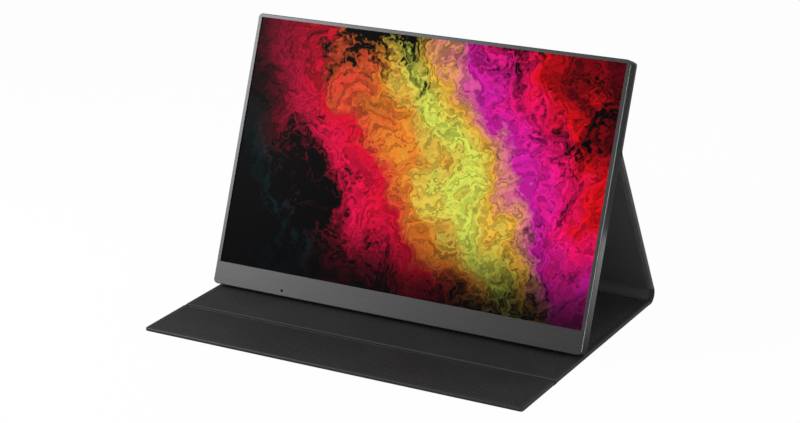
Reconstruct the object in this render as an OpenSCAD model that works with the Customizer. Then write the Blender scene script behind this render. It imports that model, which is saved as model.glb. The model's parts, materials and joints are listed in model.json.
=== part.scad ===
// Portable 16-inch monitor standing in its own folding cover.
// The cover is one strip of leather-look sheet with a stiff board in each panel:
// an upper panel held on the monitor's back by magnets, a leg that folds out of that
// back, a soft spine where the leg meets the table, a front panel under the monitor
// and a flap in front of the groove.
// World frame: X runs across the screen, -Y points to the viewer and +Z is up.

/* [Screen] */
// Width of the lit picture
screen_w = 344.7; // [300:0.1:400]
// Height of the lit picture
screen_h = 215.4; // [180:0.1:250]
// Bezel left and right of the picture
side_bezel = 3.4; // [3:0.1:10]
// Bezel above the picture
top_bezel = 3.1; // [2.8:0.1:10]
// Plain strip below the picture
chin_h = 19.5; // [18.5:0.5:40]

/* [Housing] */
// Thickness of the monitor
body_t = 13; // [12:0.5:13]
// Corner radius seen from the front
corner_r = 4; // [3.6:0.1:8]
// Rounding of the edges at the back
back_edge_r = 2.5; // [1:0.1:2.7]
// Rounding of the edges at the front
front_edge_r = 0.6; // [0.3:0.1:0.9]
// Depth of the front frame
frame_t = 2.4; // [2.1:0.1:2.8]
// Side wall of the housing
wall = 1.5; // [1.2:0.1:1.6]
// Back wall of the housing
back_wall = 1.2; // [1:0.1:1.4]
// Thickness of the frame in front of the display
lip_t = 1; // [0.8:0.05:1.2]

/* [Display stack] */
// Front polariser
polariser_t = 0.3; // [0.2:0.05:0.4]
// Liquid-crystal cell
cell_t = 1; // [0.8:0.1:1.2]
// Prism films
prism_t = 0.5; // [0.3:0.1:0.6]
// Diffuser sheet
diffuser_t = 0.2; // [0.1:0.05:0.3]
// Light guide
guide_t = 1; // [0.8:0.1:1.2]
// Reflector sheet
reflector_t = 0.2; // [0.1:0.05:0.3]
// Sheet metal of the display tray
tray_t = 0.4; // [0.3:0.1:0.5]
// How far the display module runs down behind the chin
module_drop = 5; // [4.5:0.1:6]

/* [Electronics] */
// Thickness of the main board
board_pcb_t = 1; // [0.8:0.1:1.2]
// Width of the main board
main_board_w = 100; // [90:1:120]
// How far the main board runs past the lowest and the highest socket
board_over = 14; // [12:1:16]
// Height of the first USB-C socket above the lower edge
usb_v = 60; // [56:1:64]
// Spacing between the two USB-C sockets
usb_pitch = 16; // [12:1:17]
// Height of the video socket above the lower edge
video_v = 93; // [90:1:96]
// Height of the headphone socket above the lower edge
jack_v = 108; // [105:1:112]
// Radius of the headphone socket's bore
jack_bore_r = 1.8; // [1.75:0.05:2]
// Outer radius of the headphone socket's barrel
jack_barrel_r = 2.8; // [2.5:0.1:2.8]
// Height of the power button above the lower edge
power_v = 142; // [135:1:150]
// Height of the menu rocker above the lower edge
rocker_v = 168; // [162:1:180]
// Travel of the power button
button_travel = 0.5; // [0.3:0.1:0.6]
// Width of a loudspeaker
speaker_w = 34; // [26:1:38]
// Distance of each loudspeaker's middle from the side of the housing
speaker_inset = 35.75; // [33.5:0.25:42]
// Distance of the status window from the left side of the housing
status_inset = 69.75; // [66:0.25:80]
// Height of the status window above the lower edge
status_v = 4.5; // [4:0.5:6]
// Radius of the status window
status_r = 0.8; // [0.5:0.1:1]

/* [Cover] */
// How far the cover stands in from each side of the housing
cover_inset = 0.75; // [0.5:0.05:3]
// Outer skin thickness
skin_t = 0.8; // [0.6:0.1:1]
// Stiffener board thickness
board_t = 1.5; // [1.2:0.1:2]
// Lining thickness
lining_t = 0.7; // [0.5:0.1:0.9]
// Width of the skin that is turned over onto the inside
hem_w = 5; // [3:0.5:12]
// Skin that closes the edge beside a board
edge_w = 1; // [0.8:0.1:2]
// Corner radius of the cover's free corners
cover_corner_r = 2.5; // [2:0.5:12]
// Length of the front panel from the spine to its free edge
front_len = 245; // [230:1:262]
// Distance of the groove from the free edge
groove_from_edge = 59; // [40:1:75]
// Width of the groove between the boards
groove_w = 5.6; // [5.6:0.1:8]
// Thickness of the sheet left in the groove
groove_t = 1.2; // [1:0.1:1.3]
// Radius of the cover's magnets
magnet_r = 4; // [3:0.5:5]

/* [Stand] */
// Lean of the screen from upright
lean = 22; // [14:0.5:26]
// Height of the top crease up the monitor's back
crease_v = 165; // [150:1:175]
// Width of the top crease between the boards
crease_w = 4; // [3:0.1:6]
// Height of the leg's foot above the monitor's lower edge when folded flat
foot_rise = 5; // [4.5:0.1:6]
// Outer radius of the soft spine
spine_r = 8.4; // [7:0.1:10]
// Clearance under the monitor's lower edge, which slides on the cover
slide_gap = 0.3; // [0.2:0.05:0.6]

/* [Hidden] */
$fn = 48;

// Small clearances
fit = 0.1;
board_fit = 0.2;
wall_fit = 0.3;
seam = 0.02;

// Overall sizes
monitor_w = screen_w + 2 * side_bezel;
monitor_h = chin_h + screen_h + top_bezel;
half_w = monitor_w / 2;
cover_w = monitor_w - 2 * cover_inset;
cover_t = skin_t + board_t + lining_t;
screen_top = chin_h + screen_h;
chin_pocket_inset = 4;

// Where the monitor stands: its rounded lower back edge clears the front panel
edge_drop = (body_t - back_edge_r) * sin(lean) - back_edge_r * cos(lean) + back_edge_r;
face_z = cover_t + slide_gap + edge_drop;

// The crease at the top of the leg, on the cover's outer face
stack_t = body_t + cover_t;
crease_y0 = stack_t * cos(lean) + crease_v * sin(lean);
crease_z = face_z - stack_t * sin(lean) + crease_v * cos(lean);

// The leg runs down from the crease until it is tangent to the spine
leg_len = crease_v - foot_rise;
leg_reach = sqrt(spine_r * spine_r + leg_len * leg_len);
spine_turn = atan(spine_r / leg_len);
leg_lean = acos((crease_z - spine_r) / leg_reach) + spine_turn;
spine_y0 = crease_y0 + leg_reach * sin(leg_lean - spine_turn);

// The origin is under the middle of the whole footprint
front_y0 = spine_y0 - front_len;
top_back_y0 = stack_t * cos(lean) + monitor_h * sin(lean);
back_y0 = max(spine_y0 + spine_r, top_back_y0);
shift_y = -(front_y0 + back_y0) / 2;
face_y = shift_y;
crease_y = crease_y0 + shift_y;
spine_y = spine_y0 + shift_y;
front_y = front_y0 + shift_y;
groove_y = front_y + groove_from_edge;

// Panels of the cover
spine_gap = 1;
spine_sheet_t = skin_t + lining_t;
board_end = 1.5;
upper_inset = 0.5;
upper_len = monitor_h - upper_inset - crease_v - crease_w / 2;
leg_panel_len = leg_len - crease_w / 2 - spine_gap;
base_len = spine_y - spine_gap - groove_y - groove_w / 2;
flap_len = groove_from_edge - groove_w / 2;

// Depths of the display stack, counted back from the front face
polariser_d = lip_t;
cell_d = polariser_d + polariser_t;
prism_d = cell_d + cell_t;
diffuser_d = prism_d + prism_t;
guide_d = diffuser_d + diffuser_t;
reflector_d = guide_d + guide_t;
tray_floor_d = reflector_d + reflector_t;
tray_back_d = tray_floor_d + tray_t;
shell_floor_d = body_t - back_wall;

// Outline of the display module
module_side = side_bezel - wall - fit;
module_top = top_bezel - wall - fit;
module_half = screen_w / 2 + module_side;
module_v0 = chin_h - module_drop;
module_v1 = screen_top + module_top;
module_corner = corner_r - wall - fit;
cell_inset = tray_t + board_fit;
guide_gap = 1;

// Flexible driver tabs round the lower edge of the display
flex_t = 0.2;
flex_w = 36;
flex_count = 4;
flex_pitch = screen_w * 0.22;
flex_lap = 4;
flex_d = cell_d + 0.3;
flex_drop = 0.3;
tray_notch_d = flex_d + flex_t + board_fit;
tray_lug = 10;
driver_board_t = 0.8;
driver_board_d = tray_back_d + flex_t;
driver_board_v0 = module_v0 + 3;
driver_board_h = 10;
driver_board_w = screen_w * 0.9;

// Main board and its sockets on the left side
main_board_x0 = -half_w + wall + 2;
main_board_v0 = usb_v - board_over;
main_board_h = jack_v + board_over - main_board_v0;
board_end_x = 8;
board_end_v = 4;
chip_t = 1.2;
scaler_chip = 18;
power_chip = 12;
driver_chip = 5;
main_board_d = shell_floor_d - 1.5 - board_pcb_t;
port_len = 7.5;
port_metal = 0.3;
port_recess = 0.3;
port_tongue_t = 0.7;
port_back_t = 1;
usb_tongue = 6.6;
video_tongue = 8;
usb_long = 9;
usb_thick = 3;
video_long = 11.2;
video_thick = 3;
port_x0 = -half_w + port_recess;
port_d = main_board_d - usb_thick / 2;
jack_len = 13;
jack_notch = 0.7;
jack_collar = 0.4;
jack_d = shell_floor_d - jack_barrel_r - 0.3;
cable_t = 0.3;
cable_w = 20;
connector_w = 22;
connector_h = 5;
cable_x = main_board_x0 + main_board_w * 0.6;
cable_d = driver_board_d + driver_board_t + 0.4;
cable_v0 = driver_board_v0 + 3;
cable_v1 = main_board_v0 + 12;
post_r = 2.4;
screw_r = 0.8;
screw_head_r = 1.5;
screw_head_t = 0.7;
screw_len = 6;
screw_slot_r = 0.6;
screw_slot_t = 0.3;
screw_bite = 0.3;

// Buttons on the left side
button_long = 10;
button_thick = 3;
rocker_long = 22;
rocker_play = 0.5;
rocker_switch = 7.5;
rocker_dot_r = 0.7;
rocker_dot_t = 0.3;
button_d = 6.6;
button_flange = 1;
button_cap_t = 2.4;
button_board_t = 1;
button_board_over = 6;
button_board_x = -half_w + 5.6;
switch_long = 3.6;
switch_thick = 2.4;
switch_t = button_board_x - (-half_w + button_cap_t) - button_travel - fit;

// Loudspeakers behind the chin
speaker_h = 10.5;
speaker_d0 = frame_t + 1;
speaker_d1 = shell_floor_d - 1;
speaker_slots = 7;
speaker_slot_pitch = 4;
speaker_slot_w = 1.6;
speaker_slot_l = 3.5;
speaker_slot_d = speaker_d0 + 2;
cone_inset = 3;
cone_w = 4.4;
cone_depth = 1.2;
speaker_x = half_w - speaker_inset;
status_x = half_w - status_inset;
status_fit = 0.05;
status_board_d = frame_t + 0.6;
status_board_t = 0.8;
status_board_w = 12;
status_lamp = 0.5;
status_post_x = 4;
status_post_r = 1;

// Screws and bosses along the chin
boss_r = 2.2;
boss_v = 8;
boss_inset = 8.75;
boss_xs = [boss_inset - half_w, -half_w / 3, half_w / 3, half_w - boss_inset];

// Magnets and the steel plates that they hold
keeper_w = 64;
keeper_h = 12;
keeper_t = 0.8;
keeper_xs = [-0.74 * half_w, 0, 0.74 * half_w];
magnet_side = 10;
magnet_s = upper_len * 0.55;
flap_magnet_w = 24;
flap_magnet_l = 6;
flap_magnet_xs = [-0.74 * half_w, -half_w / 4, half_w / 4, 0.74 * half_w];

// Foam blocks between the display and the back wall
pad_w = 28;
pad_h = 8;
pad_top_inset = 14;

// Lamps along the lower edge of the light guide
led_count = 24;
led_w = 4;
led_h = 1;
led_strip_h = 0.6;
led_pitch = screen_w / led_count;

// Flat shapes

// Rectangle centred on x, from y0 to y1, with radius r0 at its start and r1 at its end
module strip_outline(w, y0, y1, r0, r1) {
  translate([-w / 2, y0 + r0]) square([w, y1 - y0 - r0 - r1]);
  if (r0 > 0) strip_end(w, y0 + r0, r0, -1);
  if (r1 > 0) strip_end(w, y1 - r1, r1, 1);
}

// One rounded end of a strip outline
module strip_end(w, y, r, side) {
  translate([-w / 2 + r, side < 0 ? y - r : y]) square([w - 2 * r, r]);
  for (x = [-1, 1]) translate([x * (w / 2 - r), y]) circle(r);
}

// Slot with round ends, long along y
module stadium(long, thick) {
  square([thick, long - thick], center = true);
  for (y = [-1, 1]) translate([0, y * (long - thick) / 2]) circle(thick / 2);
}

// Frames of reference

// Monitor frame: x across, y is depth back from the front face, z is height up the face
module at_monitor() translate([0, face_y, face_z]) rotate([-lean, 0, 0]) children();

// Leg frame: origin on the top crease, outer face at y = 0, the leg runs along -z
module at_leg() translate([0, crease_y, crease_z]) rotate([leg_lean, 0, 0]) children();

// Extrudes a flat shape drawn on the face through the depths d0 to d1
module through_depth(d0, d1) {
  translate([0, d1, 0]) rotate([90, 0, 0]) linear_extrude(d1 - d0) children();
}

// Extrudes a shape drawn as depth and height along x, from x0 to x1
module through_side(x0, x1) {
  translate([x0, 0, 0]) rotate([90, 0, 90]) linear_extrude(x1 - x0) children();
}

// Box in the monitor frame, from its limits in x, depth and height
module block(x, d, v) {
  translate([x[0], d[0], v[0]]) cube([x[1] - x[0], d[1] - d[0], v[1] - v[0]]);
}

// Housing

// Slab on z = 0 whose edges are rounded on its far side
module soft_slab(w, h, t, corner, edge) {
  linear_extrude(t - edge) strip_outline(w, 0, h, corner, corner);
  linear_extrude(t) strip_outline(w - 2 * edge, edge, h - edge, corner - edge, corner - edge);
  for (y = [edge, h - edge]) {
    translate([-w / 2 + corner, y, t - edge]) rotate([0, 90, 0]) cylinder(r = edge, h = w - 2 * corner);
  }
  for (x = [-1, 1]) {
    translate([x * (w / 2 - edge), corner, t - edge]) rotate([-90, 0, 0]) {
      cylinder(r = edge, h = h - 2 * corner);
    }
    for (y = [corner, h - corner]) {
      translate([x * (w / 2 - corner), y, t - edge]) soft_corner(corner, edge);
    }
  }
}

// Rounded rim of one corner of a soft slab
module soft_corner(corner, edge) {
  rotate_extrude() intersection() {
    translate([corner - edge, 0]) circle(edge);
    translate([0, -edge]) square([corner, 2 * edge]);
  }
}

// Holes in the left wall for sockets and buttons
module left_openings() {
  for (k = [0, 1]) translate([0, port_d, usb_v + k * usb_pitch]) {
    side_hole(usb_long + 2 * wall_fit, usb_thick + 2 * wall_fit);
  }
  translate([0, port_d, video_v]) side_hole(video_long + 2 * wall_fit, video_thick + 2 * wall_fit);
  translate([0, jack_d, jack_v]) side_hole(2 * (jack_barrel_r + fit) + 0.01, 2 * (jack_barrel_r + fit));
  translate([0, button_d, power_v]) side_hole(button_long + 2 * wall_fit, button_thick + 2 * wall_fit);
  translate([0, button_d, rocker_v]) side_hole(rocker_long + 2 * wall_fit, button_thick + 2 * wall_fit);
}

// Round-ended hole through the left wall
module side_hole(long, thick) through_side(-half_w - 1, -half_w + wall + 1) stadium(long, thick);

// Places of the main board's screws
module board_corners() {
  for (x = [main_board_x0 + board_end_x, main_board_x0 + main_board_w - board_end_x]) {
    for (v = [main_board_v0 + board_end_v, main_board_v0 + main_board_h - board_end_v]) {
      translate([x, 0, v]) children();
    }
  }
}

// Cylinder along the depth, from d0 to d1
module peg(r, d0, d1) translate([0, d0, 0]) rotate([-90, 0, 0]) cylinder(r = r, h = d1 - d0);

module front_frame() {
  color("#4a4a4b") at_monitor() {
    difference() {
      translate([0, frame_t, 0]) rotate([90, 0, 0]) {
        soft_slab(monitor_w, monitor_h, frame_t, corner_r, front_edge_r);
      }
      through_depth(-1, frame_t + 1) strip_outline(screen_w, chin_h, screen_top, 0, 0);
      through_depth(lip_t, frame_t + 1) {
        strip_outline(2 * (module_half + fit), module_v0 - 2 * flex_drop - fit, module_v1 + fit, 0,
          module_corner + fit);
      }
      block([-half_w + chin_pocket_inset, half_w - chin_pocket_inset], [lip_t, frame_t + 1],
        [wall, module_v0]);
      translate([-status_x, 0, status_v]) peg(status_r, -1, lip_t + 1);
    }
    for (x = boss_xs) translate([x, 0, boss_v]) difference() {
      peg(boss_r, lip_t, shell_floor_d - fit);
      peg(screw_r, lip_t + 1, shell_floor_d);
    }
    for (x = [-1, 1]) translate([-status_x + x * status_post_x, 0, status_v]) {
      peg(status_post_r, lip_t, status_board_d);
    }
  }
}

module rear_shell() {
  color("#333335") at_monitor() {
    difference() {
      translate([0, frame_t, monitor_h]) rotate([-90, 0, 0]) {
        soft_slab(monitor_w, monitor_h, body_t - frame_t, corner_r, back_edge_r);
      }
      through_depth(frame_t - 1, shell_floor_d) {
        strip_outline(monitor_w - 2 * wall, wall, monitor_h - wall, corner_r - wall, corner_r - wall);
      }
      left_openings();
      for (x = boss_xs) translate([x, 0, boss_v]) {
        peg(screw_r + fit, shell_floor_d - 1, body_t);
        peg(screw_head_r + fit, body_t - screw_head_t, body_t + 1);
      }
      for (side = [-1, 1]) for (k = [0 : speaker_slots - 1]) {
        translate([side * speaker_x + (k - (speaker_slots - 1) / 2) * speaker_slot_pitch, 0, -1]) {
          translate([-speaker_slot_w / 2, speaker_slot_d, 0]) {
            cube([speaker_slot_w, speaker_slot_l, wall + 2]);
          }
        }
      }
    }
    board_corners() difference() {
      peg(post_r, main_board_d + board_pcb_t, shell_floor_d);
      peg(screw_r, main_board_d, shell_floor_d + screw_bite);
    }
  }
}

module shell_screws() {
  color("#1c1c1d") at_monitor() {
    for (x = boss_xs) translate([x, 0, boss_v]) {
      difference() {
        peg(screw_head_r, body_t - screw_head_t, body_t - fit);
        peg(screw_slot_r, body_t - fit - screw_slot_t, body_t);
      }
      peg(screw_r, body_t - screw_len, body_t - screw_head_t);
    }
  }
}

// Display

// Frame-shaped outline between the module's edge and the polariser
module tape_outline() {
  difference() {
    strip_outline(2 * module_half, module_v0, module_v1, 0, module_corner);
    strip_outline(screen_w + 2 * board_fit + 2 * fit, chin_h - 2 * board_fit,
      screen_top + 2 * board_fit, 0, 0);
  }
}

module frame_tape() {
  color("#101010") at_monitor() through_depth(polariser_d, cell_d) tape_outline();
}

module front_polariser() {
  color("#15161c") at_monitor() {
    through_depth(polariser_d, cell_d) {
      strip_outline(screen_w + 2 * board_fit, chin_h - board_fit, screen_top + board_fit, 0, 0);
    }
  }
}

// Sheet of the display stack inside the tray
module display_sheet(d0, d1, v0) {
  through_depth(d0, d1) {
    strip_outline(2 * (module_half - cell_inset), v0, module_v1 - cell_inset, 0, module_corner - cell_inset);
  }
}

module lcd_cell() {
  color("#20242c") at_monitor() display_sheet(cell_d, prism_d, module_v0 + cell_inset);
}

module prism_films() {
  color("#d8dde0") at_monitor() display_sheet(prism_d, diffuser_d, chin_h - guide_gap);
}

module diffuser_sheet() {
  color("#eef0f0") at_monitor() display_sheet(diffuser_d, guide_d, chin_h - guide_gap);
}

module light_guide() {
  color("#cfe4ea") at_monitor() display_sheet(guide_d, reflector_d, chin_h - guide_gap);
}

module reflector_sheet() {
  color("#ffffff") at_monitor() display_sheet(reflector_d, tray_floor_d, chin_h - guide_gap);
}

module led_bar() {
  led_v1 = chin_h - guide_gap;
  color("#f2e9c0") at_monitor() {
    block([-screen_w / 2, screen_w / 2], [guide_d, tray_floor_d],
      [led_v1 - led_h - led_strip_h, led_v1 - led_h]);
    for (k = [0 : led_count - 1]) translate([(k - (led_count - 1) / 2) * led_pitch, 0, 0]) {
      block([-led_w / 2, led_w / 2], [guide_d + fit, reflector_d - fit], [led_v1 - led_h, led_v1 - fit]);
    }
  }
}

module display_tray() {
  color("#9a9da0") at_monitor() difference() {
    through_depth(cell_d, tray_back_d) strip_outline(2 * module_half, module_v0, module_v1, 0, module_corner);
    through_depth(cell_d - 1, tray_floor_d) {
      strip_outline(2 * (module_half - tray_t), module_v0 + tray_t, module_v1 - tray_t, 0,
        module_corner - tray_t);
    }
    block([tray_lug - module_half, module_half - tray_lug], [cell_d - 1, tray_notch_d],
      [module_v0 - 1, module_v0 + tray_t + fit]);
  }
}

// Places of the driver tabs along the lower edge
module flex_places() {
  for (k = [0 : flex_count - 1]) translate([(k - (flex_count - 1) / 2) * flex_pitch, 0, 0]) children();
}

module driver_flex() {
  low_v = module_v0 - flex_drop - flex_t;
  color("#b07a2a") at_monitor() flex_places() {
    block([-flex_w / 2, flex_w / 2], [flex_d, flex_d + flex_t], [low_v, module_v0 + cell_inset]);
    block([-flex_w / 2, flex_w / 2], [flex_d, driver_board_d], [low_v, low_v + flex_t]);
    block([-flex_w / 2, flex_w / 2], [tray_back_d, driver_board_d], [low_v, driver_board_v0 + flex_lap]);
  }
}

module driver_board() {
  v1 = driver_board_v0 + driver_board_h;
  color("#1f5a34") at_monitor() {
    block([-driver_board_w / 2, driver_board_w / 2], [driver_board_d, driver_board_d + driver_board_t],
      [driver_board_v0, v1]);
    block([cable_x - connector_w / 2, cable_x + connector_w / 2], [driver_board_d, cable_d],
      [cable_v0, cable_v0 + connector_h]);
  }
}

module panel_cable() {
  color("#c9a24a") at_monitor() {
    block([cable_x - cable_w / 2, cable_x + cable_w / 2], [cable_d, cable_d + cable_t], [cable_v0, cable_v1]);
  }
}

// One foam block from the tray back to the shell's floor
module support_pad(x, v) {
  block([x - pad_w / 2, x + pad_w / 2], [tray_back_d, shell_floor_d], [v - pad_h / 2, v + pad_h / 2]);
}

// Foam blocks that carry the display on the shell's floor, the top row between the keeper plates
module support_pads() {
  color("#2b2b2b") at_monitor() {
    for (x = [-0.37, 0.37]) support_pad(x * half_w, monitor_h - pad_top_inset);
    for (x = [-0.85, -0.3, 0.3, 0.85]) support_pad(x * half_w, monitor_h * 0.6);
    for (x = [0.3, 0.85]) support_pad(x * half_w, monitor_h * 0.3);
  }
}

// Electronics

module main_board() {
  color("#1d6a3a") at_monitor() {
    difference() {
      block([main_board_x0, main_board_x0 + main_board_w], [main_board_d, main_board_d + board_pcb_t],
        [main_board_v0, main_board_v0 + main_board_h]);
      board_corners() peg(screw_r + fit, main_board_d - 1, shell_floor_d);
      block([main_board_x0 - 1, port_x0 + jack_len + jack_notch], [main_board_d - 1, shell_floor_d],
        [jack_v - jack_barrel_r - jack_notch, jack_v + jack_barrel_r + jack_notch]);
    }
    block([cable_x - connector_w / 2, cable_x + connector_w / 2], [cable_d + cable_t, main_board_d],
      [cable_v1 - connector_h, cable_v1]);
  }
}

// One square chip soldered to the back of the main board
module chip(x, v, size, back) {
  block([x - size / 2, x + size / 2], [back, back + chip_t], [v - size / 2, v + size / 2]);
}

module board_chips() {
  back = main_board_d + board_pcb_t;
  mid_x = main_board_x0 + main_board_w / 2;
  mid_v = main_board_v0 + main_board_h / 2;
  color("#161616") at_monitor() {
    chip(mid_x, mid_v, scaler_chip, back);
    chip(mid_x + main_board_w * 0.24, mid_v + main_board_h * 0.04, power_chip, back);
    chip(mid_x - main_board_w * 0.24, mid_v - main_board_h * 0.05, power_chip, back);
    for (k = [0 : 3]) {
      chip(mid_x + main_board_w * (0.18 + 0.07 * k), mid_v - main_board_h * 0.28, driver_chip, back);
    }
  }
}

module board_screws() {
  color("#b8b8b8") at_monitor() board_corners() {
    peg(screw_head_r, main_board_d - screw_head_t, main_board_d);
    peg(screw_r - fit / 2, main_board_d, shell_floor_d);
  }
}

// Metal tube of a socket with the tongue inside
module socket_shell(long, thick, tongue) {
  through_side(port_x0, port_x0 + port_len) difference() {
    stadium(long, thick);
    stadium(long - 2 * port_metal, thick - 2 * port_metal);
  }
  through_side(port_x0 + port_len - port_back_t, port_x0 + port_len) stadium(long, thick);
  through_side(port_x0 + 1, port_x0 + port_len) square([port_tongue_t, tongue], center = true);
}

module usb_c_sockets() {
  color("#8d9094") at_monitor() {
    for (k = [0, 1]) translate([0, port_d, usb_v + k * usb_pitch]) {
      socket_shell(usb_long, usb_thick, usb_tongue);
    }
  }
}

module video_socket() {
  color("#8d9094") at_monitor() translate([0, port_d, video_v]) {
    socket_shell(video_long, video_thick, video_tongue);
  }
}

module headphone_socket() {
  color("#191919") at_monitor() translate([0, jack_d, jack_v]) difference() {
    union() {
      through_side(-half_w + fit, port_x0 + jack_len) circle(jack_barrel_r);
      through_side(-half_w + wall + jack_collar, port_x0 + jack_len) square(2 * jack_barrel_r, center = true);
    }
    through_side(-half_w - 1, port_x0 + jack_len + 1) circle(jack_bore_r);
  }
}

module button_board() {
  color("#1d6a3a") at_monitor() {
    block([button_board_x, button_board_x + button_board_t], [tray_back_d + fit, shell_floor_d],
      [power_v - button_board_over, rocker_v + rocker_long / 2 + button_board_over]);
  }
}

module button_switches() {
  face = button_board_x - switch_t;
  color("#c0c2c4") at_monitor() {
    for (v = [power_v, rocker_v - rocker_switch, rocker_v + rocker_switch]) {
      block([face, button_board_x], [button_d - switch_thick / 2, button_d + switch_thick / 2],
        [v - switch_long / 2, v + switch_long / 2]);
    }
  }
}

// Button cap with a flange behind the wall, with some play between flange and wall
module button_cap(long, play) {
  through_side(-half_w, -half_w + wall + play) stadium(long, button_thick);
  through_side(-half_w + wall + play, -half_w + button_cap_t) {
    stadium(long + button_flange, button_thick + button_flange);
  }
}

module power_button() {
  color("#2a2a2b") at_monitor() translate([0, button_d, power_v]) button_cap(button_long, fit);
}

module menu_rocker() {
  color("#2a2a2b") at_monitor() translate([0, button_d, rocker_v]) difference() {
    button_cap(rocker_long, rocker_play);
    for (side = [-1, 1]) translate([0, 0, side * rocker_switch]) {
      through_side(-half_w - 1, -half_w + rocker_dot_t) circle(rocker_dot_r);
    }
  }
}

module status_window() {
  color("#dfe6ea") at_monitor() translate([-status_x, 0, status_v]) {
    peg(status_r - status_fit, fit, frame_t + 0.2);
  }
}

module status_board() {
  d0 = status_board_d;
  color("#1d6a3a") at_monitor() translate([-status_x, 0, status_v]) {
    block([-status_board_w / 2, status_board_w / 2], [d0, d0 + status_board_t], [-2, 3]);
    block([-0.8, 0.8], [frame_t + 0.2, d0], [-status_lamp, status_lamp]);
  }
}

// Loudspeaker whose cone faces the slots in the lower wall
module speaker(side) {
  mid_d = (speaker_d0 + speaker_d1) / 2;
  translate([side * speaker_x, 0, wall]) difference() {
    block([-speaker_w / 2, speaker_w / 2], [speaker_d0, speaker_d1], [0, speaker_h]);
    translate([0, mid_d, -1]) linear_extrude(1 + cone_depth) rotate(90) {
      stadium(speaker_w - 2 * cone_inset, cone_w);
    }
  }
}

module left_speaker() {
  color("#202020") at_monitor() speaker(-1);
}

module right_speaker() {
  color("#202020") at_monitor() speaker(1);
}

module keeper_plates() {
  keeper_v = crease_v + crease_w / 2 + magnet_s;
  color("#a8abae") at_monitor() {
    for (x = keeper_xs) {
      block([x - keeper_w / 2, x + keeper_w / 2], [shell_floor_d - keeper_t, shell_floor_d],
        [keeper_v - keeper_h / 2, keeper_v + keeper_h / 2]);
    }
  }
}

// Cover panels: x across, y along the strip from the crease, z from the outer face to the inner

// Outer skin wrapped round the panel's edges, its hem turned over onto the inside
module panel_skin(len, r_end, free_end) {
  end_edge = free_end ? edge_w : board_end;
  difference() {
    linear_extrude(cover_t) strip_outline(cover_w, 0, len, 0, r_end);
    translate([0, 0, skin_t]) linear_extrude(board_t) {
      strip_outline(cover_w - 2 * edge_w, board_end, len - end_edge, 0, max(r_end - edge_w, 0));
    }
    translate([0, 0, skin_t + board_t]) linear_extrude(lining_t + 1) {
      strip_outline(cover_w - 2 * hem_w, -1, free_end ? len - hem_w : len + 1, 0, 0);
    }
  }
}

// Stiff board inside the skin
module panel_board(len, r_end, free_end) {
  end_edge = free_end ? edge_w : board_end;
  translate([0, 0, skin_t]) linear_extrude(board_t) {
    strip_outline(cover_w - 2 * edge_w - 2 * board_fit, board_end + board_fit, len - end_edge - board_fit, 0,
      max(r_end - edge_w - board_fit, 0));
  }
}

// Lining set between the hems
module panel_lining(len, free_end) {
  translate([0, 0, skin_t + board_t]) linear_extrude(lining_t) {
    strip_outline(cover_w - 2 * hem_w - 2 * board_fit, 0, free_end ? len - hem_w - board_fit : len, 0, 0);
  }
}

module at_upper() at_monitor() translate([0, stack_t, crease_v + crease_w / 2]) rotate([90, 0, 0]) children();
module at_leg_panel() at_leg() translate([0, 0, -crease_w / 2]) rotate([-90, 0, 180]) children();
module at_base() translate([0, spine_y - spine_gap, 0]) rotate([0, 0, 180]) children();
module at_flap() translate([0, groove_y - groove_w / 2, 0]) rotate([0, 0, 180]) children();

module upper_skin() {
  color("#242425") at_upper() panel_skin(upper_len, cover_corner_r, true);
}

// Round pockets and discs for the magnets of the upper panel
module upper_magnet_discs(r) {
  for (x = keeper_xs) for (side = [-1, 1]) {
    translate([x + side * magnet_side, magnet_s, skin_t]) cylinder(r = r, h = board_t);
  }
}

module upper_board() {
  color("#6a5a48") at_upper() difference() {
    panel_board(upper_len, cover_corner_r, true);
    upper_magnet_discs(magnet_r + fit);
  }
}

module upper_lining() {
  color("#2e2e2f") at_upper() panel_lining(upper_len, true);
}

module upper_magnets() {
  color("#b4b4b6") at_upper() upper_magnet_discs(magnet_r);
}

// Bent sheet at the top of the leg: its outline follows both panels to the crease
module top_crease() {
  half = crease_w / 2 - seam;
  up = [sin(lean), cos(lean)];
  down = [sin(leg_lean), -cos(leg_lean)];
  in_up = [-cos(lean), sin(lean)];
  in_down = [-cos(leg_lean), -sin(leg_lean)];
  fold = lean + leg_lean;
  middle = (in_up + in_down) / (2 * cos(fold / 2));
  inner = spine_sheet_t / cos(fold / 2);
  color("#242425") translate([-cover_w / 2, crease_y, crease_z]) rotate([90, 0, 90]) linear_extrude(cover_w) {
    polygon([
      half * up,
      half * up + spine_sheet_t * in_up,
      inner * middle,
      half * down + spine_sheet_t * in_down,
      half * down,
      [0, 0]
    ]);
  }
}

module leg_skin() {
  color("#242425") at_leg_panel() panel_skin(leg_panel_len, 0, false);
}

module leg_board() {
  color("#6a5a48") at_leg_panel() panel_board(leg_panel_len, 0, false);
}

module leg_lining() {
  color("#2e2e2f") at_leg_panel() panel_lining(leg_panel_len, false);
}

// Layer of the soft spine, rolled from the front panel up to the leg, from radius r0 to r1
module spine_layer(r0, r1, width) {
  turn = 90 + leg_lean;
  reach = 4 * spine_r;
  translate([-width / 2, spine_y, spine_r]) rotate([90, 0, 90]) linear_extrude(width) {
    intersection() {
      difference() {
        circle(r1, $fn = 96);
        circle(r0, $fn = 96);
      }
      polygon(concat([[0, 0]], [for (k = [0 : 3]) reach * [cos(-90 + turn * k / 3), sin(-90 + turn * k / 3)]]));
    }
    translate([seam - spine_gap, -r1]) square([spine_gap - seam, r1 - r0]);
    rotate(leg_lean) translate([r0, 0]) square([r1 - r0, spine_gap - seam]);
  }
}

module spine_skin() {
  color("#1f1f20") spine_layer(spine_r - skin_t, spine_r, cover_w);
}

module spine_lining() {
  color("#2e2e2f") spine_layer(spine_r - spine_sheet_t, spine_r - skin_t - 0.05, cover_w - 2 * hem_w);
}

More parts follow.
